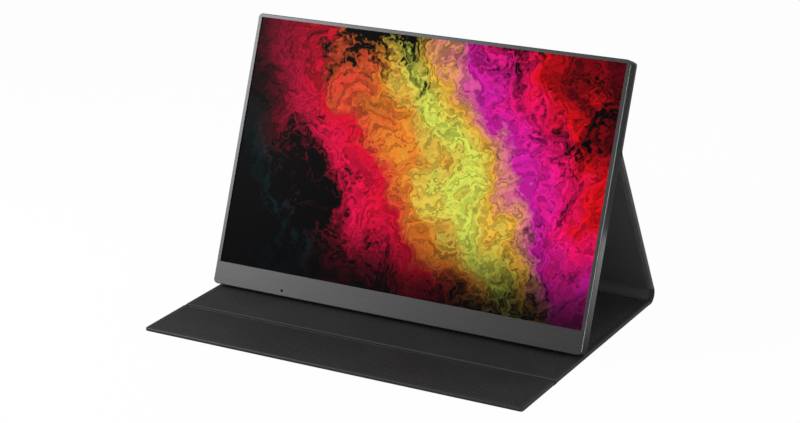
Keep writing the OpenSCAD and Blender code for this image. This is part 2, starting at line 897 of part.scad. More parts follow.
module base_skin() {
  color("#242425") at_base() panel_skin(base_len, 0, false);
}

module base_board() {
  color("#6a5a48") at_base() panel_board(base_len, 0, false);
}

module base_lining() {
  color("#2e2e2f") at_base() panel_lining(base_len, false);
}

module groove_crease() {
  half = groove_w / 2 - seam;
  color("#1a1a1b") translate([-cover_w / 2, groove_y - half, 0]) cube([cover_w, 2 * half, groove_t]);
}

module flap_skin() {
  color("#242425") at_flap() panel_skin(flap_len, cover_corner_r, true);
}

// Bar magnets near the flap's free edge, in pockets of its board
module flap_magnet_bars(grow) {
  bar_w = flap_magnet_w + 2 * grow;
  bar_l = flap_magnet_l + 2 * grow;
  for (x = flap_magnet_xs) {
    translate([x - bar_w / 2, flap_len - hem_w - flap_magnet_l - grow, skin_t]) cube([bar_w, bar_l, board_t]);
  }
}

module flap_board() {
  color("#6a5a48") at_flap() difference() {
    panel_board(flap_len, cover_corner_r, true);
    flap_magnet_bars(fit);
  }
}

module flap_lining() {
  color("#2e2e2f") at_flap() panel_lining(flap_len, true);
}

module flap_magnets() {
  color("#b4b4b6") at_flap() flap_magnet_bars(0);
}

front_frame();
rear_shell();
shell_screws();
frame_tape();
front_polariser();
lcd_cell();
prism_films();
diffuser_sheet();
light_guide();
reflector_sheet();
led_bar();
display_tray();
driver_flex();
driver_board();
panel_cable();
support_pads();
main_board();
board_chips();
board_screws();
usb_c_sockets();
video_socket();
headphone_socket();
button_board();
button_switches();
power_button();
menu_rocker();
status_window();
status_board();
left_speaker();
right_speaker();
keeper_plates();
upper_skin();
upper_board();
upper_lining();
upper_magnets();
top_crease();
leg_skin();
leg_board();
leg_lining();
spine_skin();
spine_lining();
base_skin();
base_board();
base_lining();
groove_crease();
flap_skin();
flap_board();
flap_lining();
flap_magnets();
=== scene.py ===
# A 16-inch portable monitor standing in its folding cover.
# Order of the file: camera, housing, picture, inner parts, cover from the back round to
# the front, then the table and the lamps. World frame: X across the screen, -Y to the
# viewer, Z up, in metres.
import json
import math

import bmesh
import bpy
from mathutils import Matrix, Vector


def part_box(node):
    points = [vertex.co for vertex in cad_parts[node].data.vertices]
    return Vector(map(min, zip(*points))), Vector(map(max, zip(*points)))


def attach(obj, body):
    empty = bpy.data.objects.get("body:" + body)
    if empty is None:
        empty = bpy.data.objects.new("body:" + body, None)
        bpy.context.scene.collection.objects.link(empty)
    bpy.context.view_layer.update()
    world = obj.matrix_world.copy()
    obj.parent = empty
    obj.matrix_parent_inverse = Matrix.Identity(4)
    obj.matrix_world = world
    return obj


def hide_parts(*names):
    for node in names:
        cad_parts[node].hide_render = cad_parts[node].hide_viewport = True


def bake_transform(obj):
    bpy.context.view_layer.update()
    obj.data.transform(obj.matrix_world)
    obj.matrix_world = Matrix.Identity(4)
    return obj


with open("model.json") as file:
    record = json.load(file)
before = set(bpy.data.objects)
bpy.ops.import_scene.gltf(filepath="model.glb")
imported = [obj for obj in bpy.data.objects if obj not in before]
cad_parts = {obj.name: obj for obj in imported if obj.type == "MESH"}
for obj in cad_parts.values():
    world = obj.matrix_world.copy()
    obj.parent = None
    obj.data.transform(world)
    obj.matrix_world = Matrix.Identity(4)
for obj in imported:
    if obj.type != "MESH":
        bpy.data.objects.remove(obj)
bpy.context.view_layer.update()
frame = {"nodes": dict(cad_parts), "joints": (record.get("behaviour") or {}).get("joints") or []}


# Camera. Seen from the monitor's front and its right, a little above the screen's middle.
# The place, the turn and the lens come from the straight edges of the cover and the screen.
camera_turn = math.radians(29.82)
camera_rise = math.radians(19.45)
camera_roll = math.radians(-1.01)
camera_place = Vector((0.82192, -1.43582, 0.67740))
camera_lens = 95.43

camera_data = bpy.data.cameras.new("camera")
camera_data.sensor_width = 36
camera_data.lens = camera_lens
camera_data.clip_start = 0.1
camera_data.clip_end = 50
camera = bpy.data.objects.new("camera", camera_data)
bpy.context.scene.collection.objects.link(camera)
bpy.context.scene.camera = camera
backwards = Vector((
    math.sin(camera_turn) * math.cos(camera_rise),
    -math.cos(camera_turn) * math.cos(camera_rise),
    math.sin(camera_rise),
))
level_right = (-backwards).cross(Vector((0, 0, 1))).normalized()
level_up = level_right.cross(-backwards)
right = level_right * math.cos(camera_roll) + level_up * math.sin(camera_roll)
up = level_up * math.cos(camera_roll) - level_right * math.sin(camera_roll)
turn = Matrix((right, up, backwards)).transposed().to_4x4()
camera.matrix_world = Matrix.Translation(camera_place) @ turn


# Front frame: one pressed aluminium plate that makes the narrow bezel and the chin.
# It is anodised dark grey and brushed along the screen's width, with a bright cut edge.
def linear(hex_colour):
    """An sRGB hex colour as Blender's linear colour."""
    values = [int(hex_colour[i : i + 2], 16) / 255 for i in (1, 3, 5)]
    return [v / 12.92 if v <= 0.04045 else ((v + 0.055) / 1.055) ** 2.4 for v in values] + [1]


def add(tree, kind, inputs=None, stops=None, **settings):
    """Adds a node with its settings, and sets or links its inputs. The stops of a colour
    ramp are pairs of a position and a hex colour."""
    made = tree.nodes.new(kind)
    for name, value in settings.items():
        setattr(made, name, value)
    for name, value in (inputs or {}).items():
        if isinstance(value, bpy.types.NodeSocket):
            tree.links.new(value, made.inputs[name])
        else:
            made.inputs[name].default_value = value
    if stops:
        elements = made.color_ramp.elements
        for element, (position, hex_colour) in zip(elements, (stops[0], stops[-1])):
            element.position = position
            element.color = linear(hex_colour)
        for position, hex_colour in stops[1:-1]:
            elements.new(position).color = linear(hex_colour)
    return made


def new_material(name):
    """An empty node material, and the tree that its nodes go into."""
    material = bpy.data.materials.new(name)
    material.use_nodes = True
    material.node_tree.nodes.clear()
    return material, material.node_tree


def dress(material, *names):
    """Gives CAD nodes their material."""
    for name in names:
        mesh = frame["nodes"][name].data
        mesh.materials.clear()
        mesh.materials.append(material)


face_lean = math.radians(22)

# The real brush marks are about 0.1 mm wide. They are drawn at 0.5 mm, so that they show.
brush_width = 0.0005
brush_length = 0.04
brushed_metal, tree = new_material("brushed_anodised_aluminium")
place = add(tree, "ShaderNodeTexCoord").outputs["Object"]
streaks = add(tree, "ShaderNodeMapping", {
    "Vector": place,
    "Scale": (1 / brush_length, 1 / brush_width, 1 / brush_width),
})
grain = add(tree, "ShaderNodeTexNoise", {
    "Vector": streaks.outputs[0], "Scale": 1.0, "Detail": 3.0,
})
bump = add(tree, "ShaderNodeBump", {
    "Height": grain.outputs[0], "Strength": 0.08, "Distance": 0.0001,
})
rough = add(tree, "ShaderNodeMapRange", {
    "Value": grain.outputs[0], "To Min": 0.40, "To Max": 0.46,
})
metal_tone = add(tree, "ShaderNodeValToRGB", {"Fac": grain.outputs[0]}, stops=[
    (0.3, "#474748"), (0.7, "#4e4e4f"),
])
metal = add(tree, "ShaderNodeBsdfPrincipled", {
    "Base Color": metal_tone.outputs["Color"],
    "Metallic": 0.85,
    "Roughness": rough.outputs[0],
    "Normal": bump.outputs[0],
})

# The rounded front edge is cut after anodising, so it is bare and shiny. It is the part of
# the plate that faces neither forwards nor sideways.
face_share = 0.9
side_share = 0.25
facing = add(tree, "ShaderNodeVectorMath", {
    0: add(tree, "ShaderNodeTexCoord").outputs["Normal"],
    1: (0, -math.cos(face_lean), math.sin(face_lean)),
}, operation="DOT_PRODUCT").outputs["Value"]
below_face = add(tree, "ShaderNodeMath", {0: facing, 1: face_share}, operation="LESS_THAN")
above_side = add(tree, "ShaderNodeMath", {0: facing, 1: side_share}, operation="GREATER_THAN")
on_edge = add(tree, "ShaderNodeMath", {
    0: below_face.outputs[0],
    1: above_side.outputs[0],
}, operation="MULTIPLY")
cut_tone = add(tree, "ShaderNodeValToRGB", {"Fac": grain.outputs[0]}, stops=[
    (0.3, "#747476"), (0.7, "#808082"),
])
cut_edge = add(tree, "ShaderNodeBsdfPrincipled", {
    "Base Color": cut_tone.outputs["Color"],
    "Metallic": 1.0,
    "Roughness": 0.46,
})
plate = add(tree, "ShaderNodeMixShader", {
    0: on_edge.outputs[0],
    1: metal.outputs[0],
    2: cut_edge.outputs[0],
})

# The rim of the status window's hole is inked black, round the window's front face.
inked_radius = 0.00125
window_low, window_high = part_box("status_window")
window_radius = (window_high.x - window_low.x) / 2
window_face = Vector((
    (window_low.x + window_high.x) / 2,
    window_low.y + window_radius * math.sin(face_lean),
    window_high.z - window_radius * math.cos(face_lean),
))
from_window = add(tree, "ShaderNodeVectorMath", {0: place, 1: window_face}, operation="DISTANCE")
inked = add(tree, "ShaderNodeMath", {
    0: from_window.outputs["Value"],
    1: inked_radius,
}, operation="LESS_THAN")
ink = add(tree, "ShaderNodeBsdfPrincipled", {
    "Base Color": linear("#040404"),
    "Roughness": 0.7,
    "Specular IOR Level": 0.05,
})
finish = add(tree, "ShaderNodeMixShader", {
    0: inked.outputs[0],
    1: plate.outputs[0],
    2: ink.outputs[0],
})
add(tree, "ShaderNodeOutputMaterial", {"Surface": finish.outputs[0]})
dress(brushed_metal, "front_frame")


# Rear shell: a pressed aluminium tray with satin dark grey paint, screwed on from behind.
# Fine paint stipple breaks up what its narrow sides mirror.
stipple_size = 0.0009
clouds_to_the_metre = 18.0
shell_paint, tree = new_material("satin_painted_aluminium")
place = add(tree, "ShaderNodeTexCoord").outputs["Object"]
stipple = add(tree, "ShaderNodeTexNoise", {
    "Vector": place, "Scale": 1 / stipple_size, "Detail": 2.0,
})
clouding = add(tree, "ShaderNodeTexNoise", {
    "Vector": place, "Scale": clouds_to_the_metre, "Detail": 2.0,
})
bump = add(tree, "ShaderNodeBump", {
    "Height": stipple.outputs[0], "Strength": 0.06, "Distance": 0.0001,
})
rough = add(tree, "ShaderNodeMapRange", {
    "Value": clouding.outputs[0], "To Min": 0.16, "To Max": 0.21,
})
tone = add(tree, "ShaderNodeValToRGB", {"Fac": clouding.outputs[0]}, stops=[
    (0.3, "#606062"), (0.7, "#666668"),
])
paint = add(tree, "ShaderNodeBsdfPrincipled", {
    "Base Color": tone.outputs["Color"],
    "Metallic": 0.95,
    "Roughness": rough.outputs[0],
    "Normal": bump.outputs[0],
})
add(tree, "ShaderNodeOutputMaterial", {"Surface": paint.outputs[0]})
dress(shell_paint, "rear_shell")


# Buttons, sockets and screws on the shell. The caps are moulded ABS, the sockets are
# stamped nickel-plated steel and the screws are blackened steel.
def grained(name, low, high, grain_size, roughness, metallic=0.0, depth=0.00005):
    """A material with a fine even grain in its colour and its surface."""
    material, tree = new_material(name)
    place = add(tree, "ShaderNodeTexCoord").outputs["Object"]
    grain = add(tree, "ShaderNodeTexNoise", {
        "Vector": place, "Scale": 1 / grain_size, "Detail": 2.0,
    })
    bump = add(tree, "ShaderNodeBump", {
        "Height": grain.outputs[0], "Strength": 0.2, "Distance": depth,
    })
    tone = add(tree, "ShaderNodeValToRGB", {"Fac": grain.outputs[0]}, stops=[
        (0.3, low), (0.7, high),
    ])
    shader = add(tree, "ShaderNodeBsdfPrincipled", {
        "Base Color": tone.outputs["Color"],
        "Metallic": metallic,
        "Roughness": roughness,
        "Normal": bump.outputs[0],
    })
    add(tree, "ShaderNodeOutputMaterial", {"Surface": shader.outputs[0]})
    return material


# Moulded caps look a little duller than the painted shell around them.
dress(
    grained("moulded_black_abs", "#232324", "#2b2b2c", grain_size=0.0006, roughness=0.48),
    "power_button", "menu_rocker",
)
# Plated sockets give small bright rings in the dark side.
dress(
    grained("nickel_plated_steel", "#8f9194", "#a3a5a8", grain_size=0.0012, roughness=0.28, metallic=1.0),
    "usb_c_sockets", "video_socket",
)
# The barrel of the headphone socket is glossy black plastic.
dress(
    grained("glossy_black_nylon", "#141415", "#1b1b1c", grain_size=0.0008, roughness=0.3),
    "headphone_socket",
)
# Screws are near black and slightly shiny in their slots.
dress(
    grained("blackened_steel_screw", "#1c1c1d", "#29292a", grain_size=0.0007, roughness=0.36, metallic=0.9),
    "shell_screws",
)
# The window is polished smoked acrylic, which looks like a dark dot while its lamp is off.
dress(
    grained("smoked_acrylic_window", "#020202", "#050505", grain_size=0.0005, roughness=0.06, depth=0.000001),
    "status_window",
)


# Picture: the polariser in front of the lit display, a smooth plastic film with a hard coat.
# The picture on it is made of drifting clouds of colour, dark on the left and at the foot.
screen_width = 0.3447
screen_low, screen_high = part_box("front_polariser")

lit_film, tree = new_material("hard_coated_polariser_lit")
place = add(tree, "ShaderNodeTexCoord").outputs["Object"]
# Turned upright, in screen widths: x runs from -0.5 to 0.5 and z from the lower edge up.
upright = add(tree, "ShaderNodeMapping", {
    "Vector": place,
    "Scale": (1 / screen_width, 1 / screen_width, 1 / screen_width),
    "Rotation": (face_lean, 0, 0),
})
split = add(tree, "ShaderNodeSeparateXYZ", {"Vector": upright.outputs[0]})
across = split.outputs["X"]
screen_middle = (
    (screen_low.y + screen_high.y) / 2 * math.sin(face_lean)
    + (screen_low.z + screen_high.z) / 2 * math.cos(face_lean)
) / screen_width
height = add(tree, "ShaderNodeMath", {
    0: split.outputs["Z"],
    1: screen_middle,
}, operation="SUBTRACT").outputs[0]
flat = add(tree, "ShaderNodeCombineXYZ", {"X": across, "Y": height, "Z": 0.0}).outputs[0]

# A coarse noise pushes the picture's clouds about.
cloud_push = (0.55, 0.45, 0.0)
swirl = add(tree, "ShaderNodeTexNoise", {
    "Vector": flat, "Scale": 3.1, "Detail": 5.0, "Roughness": 0.62,
})
centred = add(tree, "ShaderNodeVectorMath", {
    0: swirl.outputs["Color"],
    1: (0.5, 0.5, 0.5),
}, operation="SUBTRACT")
pushed = add(tree, "ShaderNodeVectorMath", {
    0: centred.outputs[0],
    1: cloud_push,
}, operation="MULTIPLY")
drifted = add(tree, "ShaderNodeVectorMath", {
    0: flat,
    1: pushed.outputs[0],
}, operation="ADD").outputs[0]

# Hue bands cross the screen from the lower left to the upper right.
band_turn = -0.62
band_start = (0.5, 0.1, 0)
banded = add(tree, "ShaderNodeMapping", {
    "Vector": drifted, "Rotation": (0, 0, band_turn), "Location": band_start,
})
band_split = add(tree, "ShaderNodeSeparateXYZ", {"Vector": banded.outputs[0]})
hues = add(tree, "ShaderNodeValToRGB", {"Fac": band_split.outputs["X"]}, stops=[
    (0.00, "#0c2b33"), (0.12, "#16494c"), (0.22, "#7a1020"), (0.32, "#f4124e"),
    (0.42, "#e01030"), (0.50, "#f08a2c"), (0.58, "#dbe85a"), (0.66, "#f2b23c"),
    (0.74, "#d61fa6"), (0.84, "#ff1472"), (0.92, "#e8101c"), (1.00, "#5a0612"),
])

# Dark drifts lie between the clouds, with a fine speckled edge.
speck_share = 0.12
drift = add(tree, "ShaderNodeTexNoise", {
    "Vector": drifted, "Scale": 2.6, "Detail": 12.0, "Roughness": 0.7,
})
speck = add(tree, "ShaderNodeTexVoronoi", {"Vector": drifted, "Scale": 60.0})
broken = add(tree, "ShaderNodeMath", {
    0: speck.outputs["Distance"],
    1: speck_share,
    2: drift.outputs[0],
}, operation="MULTIPLY_ADD")

# The clouds close up into one bright field right of the middle.
field_middle = (0.1, 0.04, 0.0)
field_shape = (1.0, 1.3, 1.0)
spread = add(tree, "ShaderNodeVectorMath", {0: flat, 1: field_middle}, operation="SUBTRACT")
squeezed = add(tree, "ShaderNodeVectorMath", {
    0: spread.outputs[0],
    1: field_shape,
}, operation="MULTIPLY")
away = add(tree, "ShaderNodeVectorMath", {0: squeezed.outputs[0]}, operation="LENGTH")
glow = add(tree, "ShaderNodeMapRange", {
    "Value": away.outputs["Value"],
    "From Min": 0.08,
    "From Max": 0.42,
    "To Min": 0.16,
    "To Max": -0.04,
})
raised = add(tree, "ShaderNodeMath", {0: broken.outputs[0], 1: glow.outputs[0]}, operation="ADD")
lightness = add(tree, "ShaderNodeMapRange", {
    "Value": raised.outputs[0], "From Min": 0.50, "From Max": 0.60,
})

# The lower edge and the left side fall off to a trace of their colour.
trace_share = 0.07
low_fade = add(tree, "ShaderNodeMapRange", {
    "Value": height, "From Min": -0.31, "From Max": -0.08,
}, interpolation_type="SMOOTHSTEP")
side_fade = add(tree, "ShaderNodeMapRange", {
    "Value": across, "From Min": -0.52, "From Max": -0.22,
}, interpolation_type="SMOOTHSTEP")
fades = add(tree, "ShaderNodeMath", {
    0: low_fade.outputs[0],
    1: side_fade.outputs[0],
}, operation="MULTIPLY")
lifted = add(tree, "ShaderNodeMath", {
    0: fades.outputs[0],
    1: 1 - trace_share,
    2: trace_share,
}, operation="MULTIPLY_ADD")

# Small flakes of uneven brightness fill the clouds.
flakes = add(tree, "ShaderNodeTexVoronoi", {"Vector": drifted, "Scale": 95.0})
flake_tone = add(tree, "ShaderNodeSeparateColor", {"Color": flakes.outputs["Color"]})
flaked = add(tree, "ShaderNodeMapRange", {
    "Value": flake_tone.outputs[0], "To Min": 0.45, "To Max": 1.1,
})
patchy = add(tree, "ShaderNodeMath", {
    0: lightness.outputs[0],
    1: flaked.outputs[0],
}, operation="MULTIPLY")
strength = add(tree, "ShaderNodeMath", {
    0: patchy.outputs[0],
    1: lifted.outputs[0],
}, operation="MULTIPLY")
picture = add(tree, "ShaderNodeMix", {
    "Factor": strength.outputs[0], "A": linear("#060608"), "B": hues.outputs["Color"],
}, data_type="RGBA")

# The light leaves mostly straight ahead, so little of it falls on the cover below.
sideways_light = 0.35
rays = add(tree, "ShaderNodeLightPath")
ahead = add(tree, "ShaderNodeMapRange", {
    "Value": rays.outputs["Is Camera Ray"], "To Min": sideways_light, "To Max": 1.0,
})
film = add(tree, "ShaderNodeBsdfPrincipled", {
    "Base Color": linear("#030303"),
    "Roughness": 0.32,
    "Specular IOR Level": 0.01,
    "Emission Color": picture.outputs["Result"],
    "Emission Strength": ahead.outputs[0],
})
add(tree, "ShaderNodeOutputMaterial", {"Surface": film.outputs[0]})
dress(lit_film, "front_polariser")


# Inside of the monitor: the display's layers, its tray, the boards and what they carry.
# They are glass, films, stamped steel, fibreglass boards, copper tabs and foam.
# Tape holds the display to the frame and is matt black.
dress(
    grained("black_foam_tape", "#0d0d0d", "#171717", grain_size=0.0008, roughness=0.9),
    "frame_tape",
)
# The cell is dark glass.
dress(
    grained("dark_display_glass", "#1b1f27", "#20252e", grain_size=0.004, roughness=0.08),
    "lcd_cell",
)
# The sheets behind it are milky white or clear, each with its own gloss.
dress(
    grained("clear_prism_film", "#c9cfd2", "#d9dee0", grain_size=0.0006, roughness=0.2),
    "prism_films",
)
dress(
    grained("milky_diffuser_film", "#e2e4e4", "#eceeee", grain_size=0.002, roughness=0.6),
    "diffuser_sheet",
)
dress(
    grained("clear_acrylic_guide", "#c3dbe2", "#d2e6ec", grain_size=0.003, roughness=0.1),
    "light_guide",
)
dress(
    grained("white_reflector_film", "#ececec", "#f4f4f4", grain_size=0.002, roughness=0.5),
    "reflector_sheet",
)
# The lamps are small yellow blocks of phosphor on a white strip.
dress(
    grained("phosphor_led_strip", "#e6d98a", "#f4ecc0", grain_size=0.002, roughness=0.5),
    "led_bar",
)
# The tray is bare zinc-plated sheet steel with a faint spangle.
dress(
    grained("zinc_plated_sheet_steel", "#8f9294", "#a6a9ab", grain_size=0.006, roughness=0.38, metallic=1.0),
    "display_tray",
)
# Tabs and the cable are copper under amber polyimide film.
dress(
    grained("amber_polyimide_film", "#a36d1f", "#c08a34", grain_size=0.003, roughness=0.3),
    "driver_flex", "panel_cable",
)
# Boards are fibreglass under green lacquer, with the weave just showing.
dress(
    grained("green_lacquered_fibreglass", "#17522d", "#216b3c", grain_size=0.0011, roughness=0.35),
    "driver_board", "main_board", "button_board", "status_board",
)
# Chips are matt moulded epoxy.
dress(
    grained("moulded_black_epoxy", "#131314", "#1e1e1f", grain_size=0.0005, roughness=0.6),
    "board_chips",
)
# Screws, switches and the magnets' keeper plates are bright plated steel.
dress(
    grained("bright_plated_steel", "#b5b7b9", "#cccdd0", grain_size=0.0015, roughness=0.25, metallic=1.0),
    "board_screws", "button_switches", "keeper_plates",
)
# Foam pads are open-celled and dull.
dress(
    grained(
        "charcoal_polyurethane_foam", "#1e1e1f", "#333334",
        grain_size=0.0012, roughness=0.95, depth=0.0003,
    ),
    "support_pads",
)
# Loudspeaker boxes are plain moulded plastic.
dress(
    grained("moulded_grey_plastic_box", "#19191a", "#232324", grain_size=0.0009, roughness=0.5),
    "left_speaker", "right_speaker",
)


# Stiffeners and magnets of the cover, glued between its leathers. The boards are pressed
# grey-brown fibreboard. The magnets are nickel-plated, and shine more than their plates.
dress(
    grained("pressed_fibreboard", "#5c4f3f", "#77684f", grain_size=0.0009, roughness=0.9, depth=0.0002),
    "upper_board", "leg_board", "base_board", "flap_board",
)
dress(
    grained("nickel_plated_magnet", "#a9aaac", "#c4c5c7", grain_size=0.002, roughness=0.18, metallic=1.0),
    "upper_magnets", "flap_magnets",
)


# Cover sheet: woven-look artificial leather, a black coat rolled on a cloth backing.
# Its fine crossed ribs catch the light. The edges are turned in and pressed smooth.
cover_width = 0.350
cover_depth = 0.003
hem_width = 0.005
hem_rise = 0.0003
field_step = 0.0002
corner_radius = 0.0025
corner_steps = 8
edge_round = 0.0010
lining_depth = 0.0005
lining_drop = 0.00008
lining_gap = 0.0001
lining_round = 0.00012
tolerance = 1e-6

# The real ribs are about 1.2 mm apart. They are drawn at 2 mm, so that they show.
rib_pitch = 0.0020
rib_turn = math.radians(40)
wear_to_the_metre = 22.0
pores_to_the_metre = 1400.0
wear_share = 0.35
pore_share = 0.25


def rib_leather(name, low, high, roughness, rib_depth):
    """Artificial leather with two sets of crossed ribs, laid along the piece's own UV map."""
    material, tree = new_material(name)
    flat = add(tree, "ShaderNodeUVMap", uv_map="cloth").outputs[0]
    # Blender's wave texture repeats after 2 pi / (20 x scale).
    wave_scale = 2 * math.pi / (20 * rib_pitch)
    rib_sets = []
    for angle in (rib_turn, -rib_turn):
        turned = add(tree, "ShaderNodeMapping", {"Vector": flat, "Rotation": (0, 0, angle)})
        rib_sets.append(add(tree, "ShaderNodeTexWave", {
            "Vector": turned.outputs[0],
            "Scale": wave_scale,
            "Distortion": 0.5,
            "Detail": 1.0,
            "Detail Scale": 2.0,
        }, wave_type="BANDS", bands_direction="X").outputs["Fac"])
    ribs = add(tree, "ShaderNodeMath", {0: rib_sets[0], 1: rib_sets[1]}, operation="MULTIPLY")
    wear = add(tree, "ShaderNodeTexNoise", {
        "Vector": flat, "Scale": wear_to_the_metre, "Detail": 4.0,
    })
    pores = add(tree, "ShaderNodeTexNoise", {
        "Vector": flat, "Scale": pores_to_the_metre, "Detail": 2.0,
    })
    relief = add(tree, "ShaderNodeMath", {
        0: pores.outputs[0],
        1: pore_share,
        2: ribs.outputs[0],
    }, operation="MULTIPLY_ADD")
    bump = add(tree, "ShaderNodeBump", {
        "Height": relief.outputs[0], "Strength": 0.7, "Distance": rib_depth,
    })
    # The tone is random wear plus the ribs, whose crests are drawn lighter as a painted highlight.
    tone_and_painted_light = add(tree, "ShaderNodeMath", {
        0: wear.outputs[0],
        1: wear_share,
        2: ribs.outputs[0],
    }, operation="MULTIPLY_ADD")
    rough = add(tree, "ShaderNodeMapRange", {
        "Value": wear.outputs[0], "To Min": roughness - 0.06, "To Max": roughness + 0.08,
    })
    tone = add(tree, "ShaderNodeValToRGB", {"Fac": tone_and_painted_light.outputs[0]}, stops=[
        (0.15, low), (0.95, high),
    ])
    leather = add(tree, "ShaderNodeBsdfPrincipled", {
        "Base Color": tone.outputs["Color"],
        "Roughness": rough.outputs[0],
        "Specular IOR Level": 0.3,
        "Normal": bump.outputs[0],
    })
    add(tree, "ShaderNodeOutputMaterial", {"Surface": leather.outputs[0]})
    return material


outer_leather = rib_leather(
    "ribbed_artificial_leather_outside", "#1b1b1c", "#454546", roughness=0.6, rib_depth=0.0004,
)
inner_leather = rib_leather(
    "ribbed_artificial_leather_lining", "#1b1b1c", "#404041", roughness=0.62, rib_depth=0.0003,
)
# The lining behind the screen is drawn lighter and greyer, painted light on faces that lie in the monitor's
# shade.
lining_leather_painted_light = rib_leather(
    "ribbed_artificial_leather_lining_painted_light", "#2d2d2e", "#4b4b4c", roughness=0.62, rib_depth=0.0002,
)
# The turned hems and the edges are pressed smooth, so they shine a little in side light.
hem_leather = grained(
    "smooth_pressed_leather_hem", "#29292a", "#333334", grain_size=0.0009, roughness=0.5, depth=0.0001,
)
# On the two panels behind the screen the hems are drawn lighter, a painted highlight along their rounded
# edges.
hem_painted_highlight = grained(
    "leather_hem_painted_highlight", "#484849", "#545455", grain_size=0.0009, roughness=0.55, depth=0.0001,
)


def lay_cloth(mesh, strip_start, flat_place=None):
    """Writes the UV map that the weave follows: across the strip, and along it in metres."""
    edge_facing = 0.75
    layer = mesh.loops.layers.uv.new("cloth")
    for face in mesh.faces:
        normal = face.normal
        for loop in face.loops:
            co = flat_place(loop.vert.co) if flat_place else loop.vert.co
            if abs(normal.x) > edge_facing:
                loop[layer].uv = (co.z, co.y + strip_start)
            elif abs(normal.y) > edge_facing and flat_place is None:
                loop[layer].uv = (co.x, co.z + strip_start)
            else:
                loop[layer].uv = (co.x, co.y + strip_start)


def make_piece(name, mesh, *materials, place=None):
    """Turns a bmesh into a finished object at the origin, with its place in its mesh."""
    sharp_angle = math.radians(35)
    if place is not None:
        mesh.transform(place)
    bmesh.ops.recalc_face_normals(mesh, faces=mesh.faces)
    data = bpy.data.meshes.new(name)
    mesh.to_mesh(data)
    mesh.free()
    for material in materials:
        data.materials.append(material)
    piece = bpy.data.objects.new(name, data)
    bpy.context.scene.collection.objects.link(piece)
    for face in data.polygons:
        face.use_smooth = True
    data.set_sharp_from_angle(angle=sharp_angle)
    return piece


def slab(width, length, depth, centre):
    """A new mesh of one box, to be rounded and cut."""
    mesh = bmesh.new()
    bmesh.ops.create_cube(mesh, size=1.0)
    bmesh.ops.scale(mesh, vec=(width, length, depth), verts=mesh.verts)
    bmesh.ops.translate(mesh, vec=centre, verts=mesh.verts)
    return mesh


def round_edges(mesh, edges, offset, segments):
    """Bevels edges to an even round."""
    bmesh.ops.bevel(
        mesh, geom=edges, offset=offset, offset_type="OFFSET", segments=segments,
        profile=0.5, affect="EDGES", material=-1,
    )


def is_level(edge, axis):
    """Whether both ends of an edge have the same x, y or z, for axis 0, 1 or 2."""
    return abs(edge.verts[0].co[axis] - edge.verts[1].co[axis]) < tolerance


def lies_at(edge, axis, value):
    """Whether both ends of an edge have this x, y or z."""
    return all(abs(v.co[axis] - value) < tolerance for v in edge.verts)


def cover_panel(name, length, free_end, strip_start, place, hem_material):
    """One stiff panel of the cover, flat on z = 0 with its inside up, from y = 0 to length.
    The hem stands a little above the sunk field that the lining fills."""
    mesh = slab(cover_width, length, cover_depth, (0, length / 2, cover_depth / 2))
    if free_end:
        corners = [e for e in mesh.edges if lies_at(e, 1, length) and is_level(e, 0)]
        round_edges(mesh, corners, corner_radius, corner_steps)
    fold_ends = (0.0,) if free_end else (0.0, length)
    outer_rims = [
        e for e in mesh.edges
        if is_level(e, 2) and not any(lies_at(e, 1, end) for end in fold_ends)
    ]
    round_edges(mesh, outer_rims, edge_round, 3)
    cuts = [((side * (cover_width / 2 - hem_width), 0, 0), (1, 0, 0)) for side in (-1, 1)]
    if free_end:
        cuts.append(((0, length - hem_width, 0), (0, 1, 0)))
    for cut_place, cut_normal in cuts:
        bmesh.ops.bisect_plane(
            mesh, geom=[*mesh.verts, *mesh.edges, *mesh.faces], dist=tolerance,
            plane_co=cut_place, plane_no=cut_normal,
        )
    inside_facing = 0.3
    for face in mesh.faces:
        face.material_index = 1 if face.normal.z > inside_facing else 0
    field_centre = Vector((0, length / 2, cover_depth))
    field = min(mesh.faces, key=lambda f: (f.calc_center_median() - field_centre).length)
    bmesh.ops.inset_region(
        mesh, faces=[field], thickness=field_step, depth=-hem_rise, use_even_offset=True,
    )
    lay_cloth(mesh, strip_start)
    return make_piece(name, mesh, outer_leather, hem_material, place=place)


def panel_lining(name, length, free_end, strip_start, place, material):
    """The lining glued into the field between the hems, with softened edges."""
    field_length = length - hem_width if free_end else length
    mesh = slab(
        cover_width - 2 * hem_width - 2 * lining_gap,
        field_length - 2 * lining_gap,
        lining_depth,
        (0, field_length / 2, cover_depth - lining_drop - lining_depth / 2),
    )
    round_edges(mesh, list(mesh.edges), lining_round, 2)
    lay_cloth(mesh, strip_start)
    return make_piece(name, mesh, material, place=place)


# Upper panel: the top of the cover, a board between two leathers. Magnets hold it on the
# monitor's back. Its lower end stops at the top crease, and its free corners are rounded.
joint_places = {
    joint["name"]: Vector(joint["pos_m"])
    for joint in frame["joints"]
    if "pos_m" in joint
}
crease_place = joint_places["stand_fold"]
crease_half = 0.002
upper_length = 0.0705
upper_strip = 0.0
lean_up = Vector((0, math.sin(face_lean), math.cos(face_lean)))
lean_back = Vector((0, math.cos(face_lean), -math.sin(face_lean)))


def panel_place(origin, along, inside):
    """Places a flat panel: its y runs along, its z points to the inside."""
    along, inside = along.normalized(), inside.normalized()
    across = along.cross(inside)
    turn = Matrix((across, along, inside)).transposed().to_4x4()
    return Matrix.Translation(origin) @ turn


upper_place = panel_place(crease_place + crease_half * lean_up, lean_up, -lean_back)
upper_cover = cover_panel(
    "upper_cover", upper_length, True, upper_strip, upper_place, hem_painted_highlight,
)
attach(upper_cover, "monitor")
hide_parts("upper_skin")
upper_inside = panel_lining(
    "upper_inside", upper_length, True, upper_strip, upper_place, lining_leather_painted_light,
)
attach(upper_inside, "monitor")
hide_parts("upper_lining")


